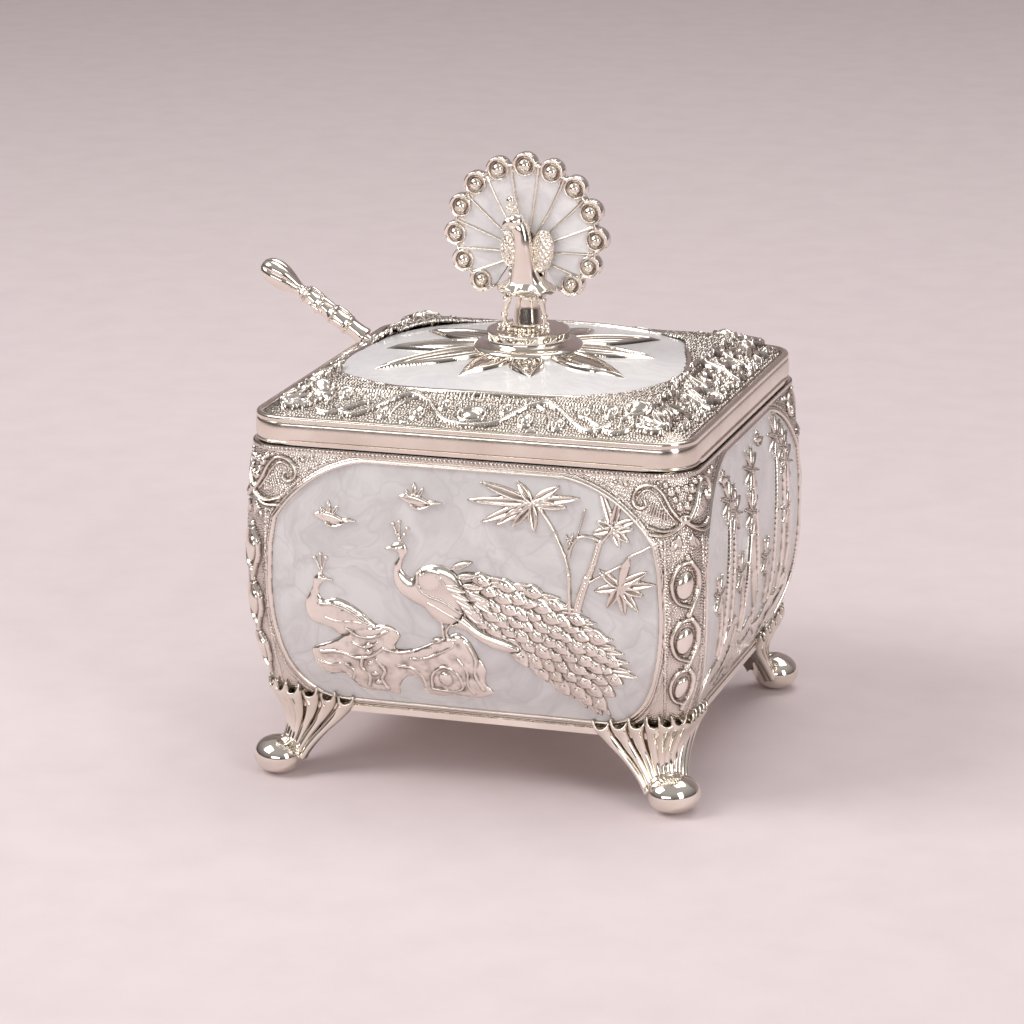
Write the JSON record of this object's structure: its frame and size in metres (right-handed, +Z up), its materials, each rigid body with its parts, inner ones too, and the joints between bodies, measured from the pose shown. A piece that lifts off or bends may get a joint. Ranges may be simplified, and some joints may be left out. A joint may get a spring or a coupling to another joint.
{
  "type": "sugar bowl",
  "caption": "Square footed sugar bowl in relief silver and pearl enamel, with a lift-off domed lid, peacock knob and a spoon leaning through a notch.",
  "frame": {"origin": "centre of the plane that the four feet stand on", "axes": "+Z up, front (the peacock scene) faces -Y, +X to the right seen from the front"},
  "size_m": [0.139, 0.106, 0.1469],
  "materials": {
    "cast_silver": "silver-plated casting, satin",
    "polished_silver": "silver plate, polished",
    "pearl_enamel": "swirled pearl enamel, glossy",
    "dome_enamel": "swirled pearl enamel, glossy",
    "liner_steel": "brushed",
    "screw_steel": "plain"
  },
  "bodies": {
    "bowl": {"wall_front": "cast_silver", "wall_right": "cast_silver", "wall_back": "cast_silver", "wall_left": "cast_silver", "enamel_front": "pearl_enamel", "enamel_right": "pearl_enamel", "enamel_back": "pearl_enamel", "enamel_left": "pearl_enamel", "relief_front": "cast_silver", "relief_right": "cast_silver", "relief_back": "cast_silver", "relief_left": "cast_silver", "stile_front_right": "cast_silver", "stile_front_left": "cast_silver", "stile_back_right": "cast_silver", "stile_back_left": "cast_silver", "rim_moulding": "cast_silver", "liner": "liner_steel", "base_plate": "cast_silver", "foot_screws": "screw_steel", "foot_front_right": "polished_silver", "foot_front_left": "polished_silver", "foot_back_right": "polished_silver", "foot_back_left": "polished_silver"},
    "lid": {"lid_band": "polished_silver", "lid_top": "cast_silver", "lid_enamel": "dome_enamel", "lid_scroll": "cast_silver", "lid_petals": "polished_silver", "knob_collar": "polished_silver", "knob_pedestal": "polished_silver", "peacock": "polished_silver", "fan_frame": "polished_silver", "fan_enamel": "pearl_enamel", "fan_beads": "polished_silver", "knob_screw": "screw_steel", "knob_washer": "screw_steel"},
    "spoon": {"spoon_bowl": "polished_silver", "spoon_stem": "polished_silver", "spoon_handle": "polished_silver", "spoon_finial": "polished_silver"}
  },
  "joints": [
    {"name": "lid_lift", "type": "slide", "parent": "bowl", "child": "lid", "axis": [0, 0, 1], "range_m": [0, 0.12]},
    {"name": "spoon_slide", "type": "slide", "parent": "bowl", "child": "spoon", "axis": [-0.8387, 0, 0.5446], "range_m": [0, 0.04]}
  ]
}
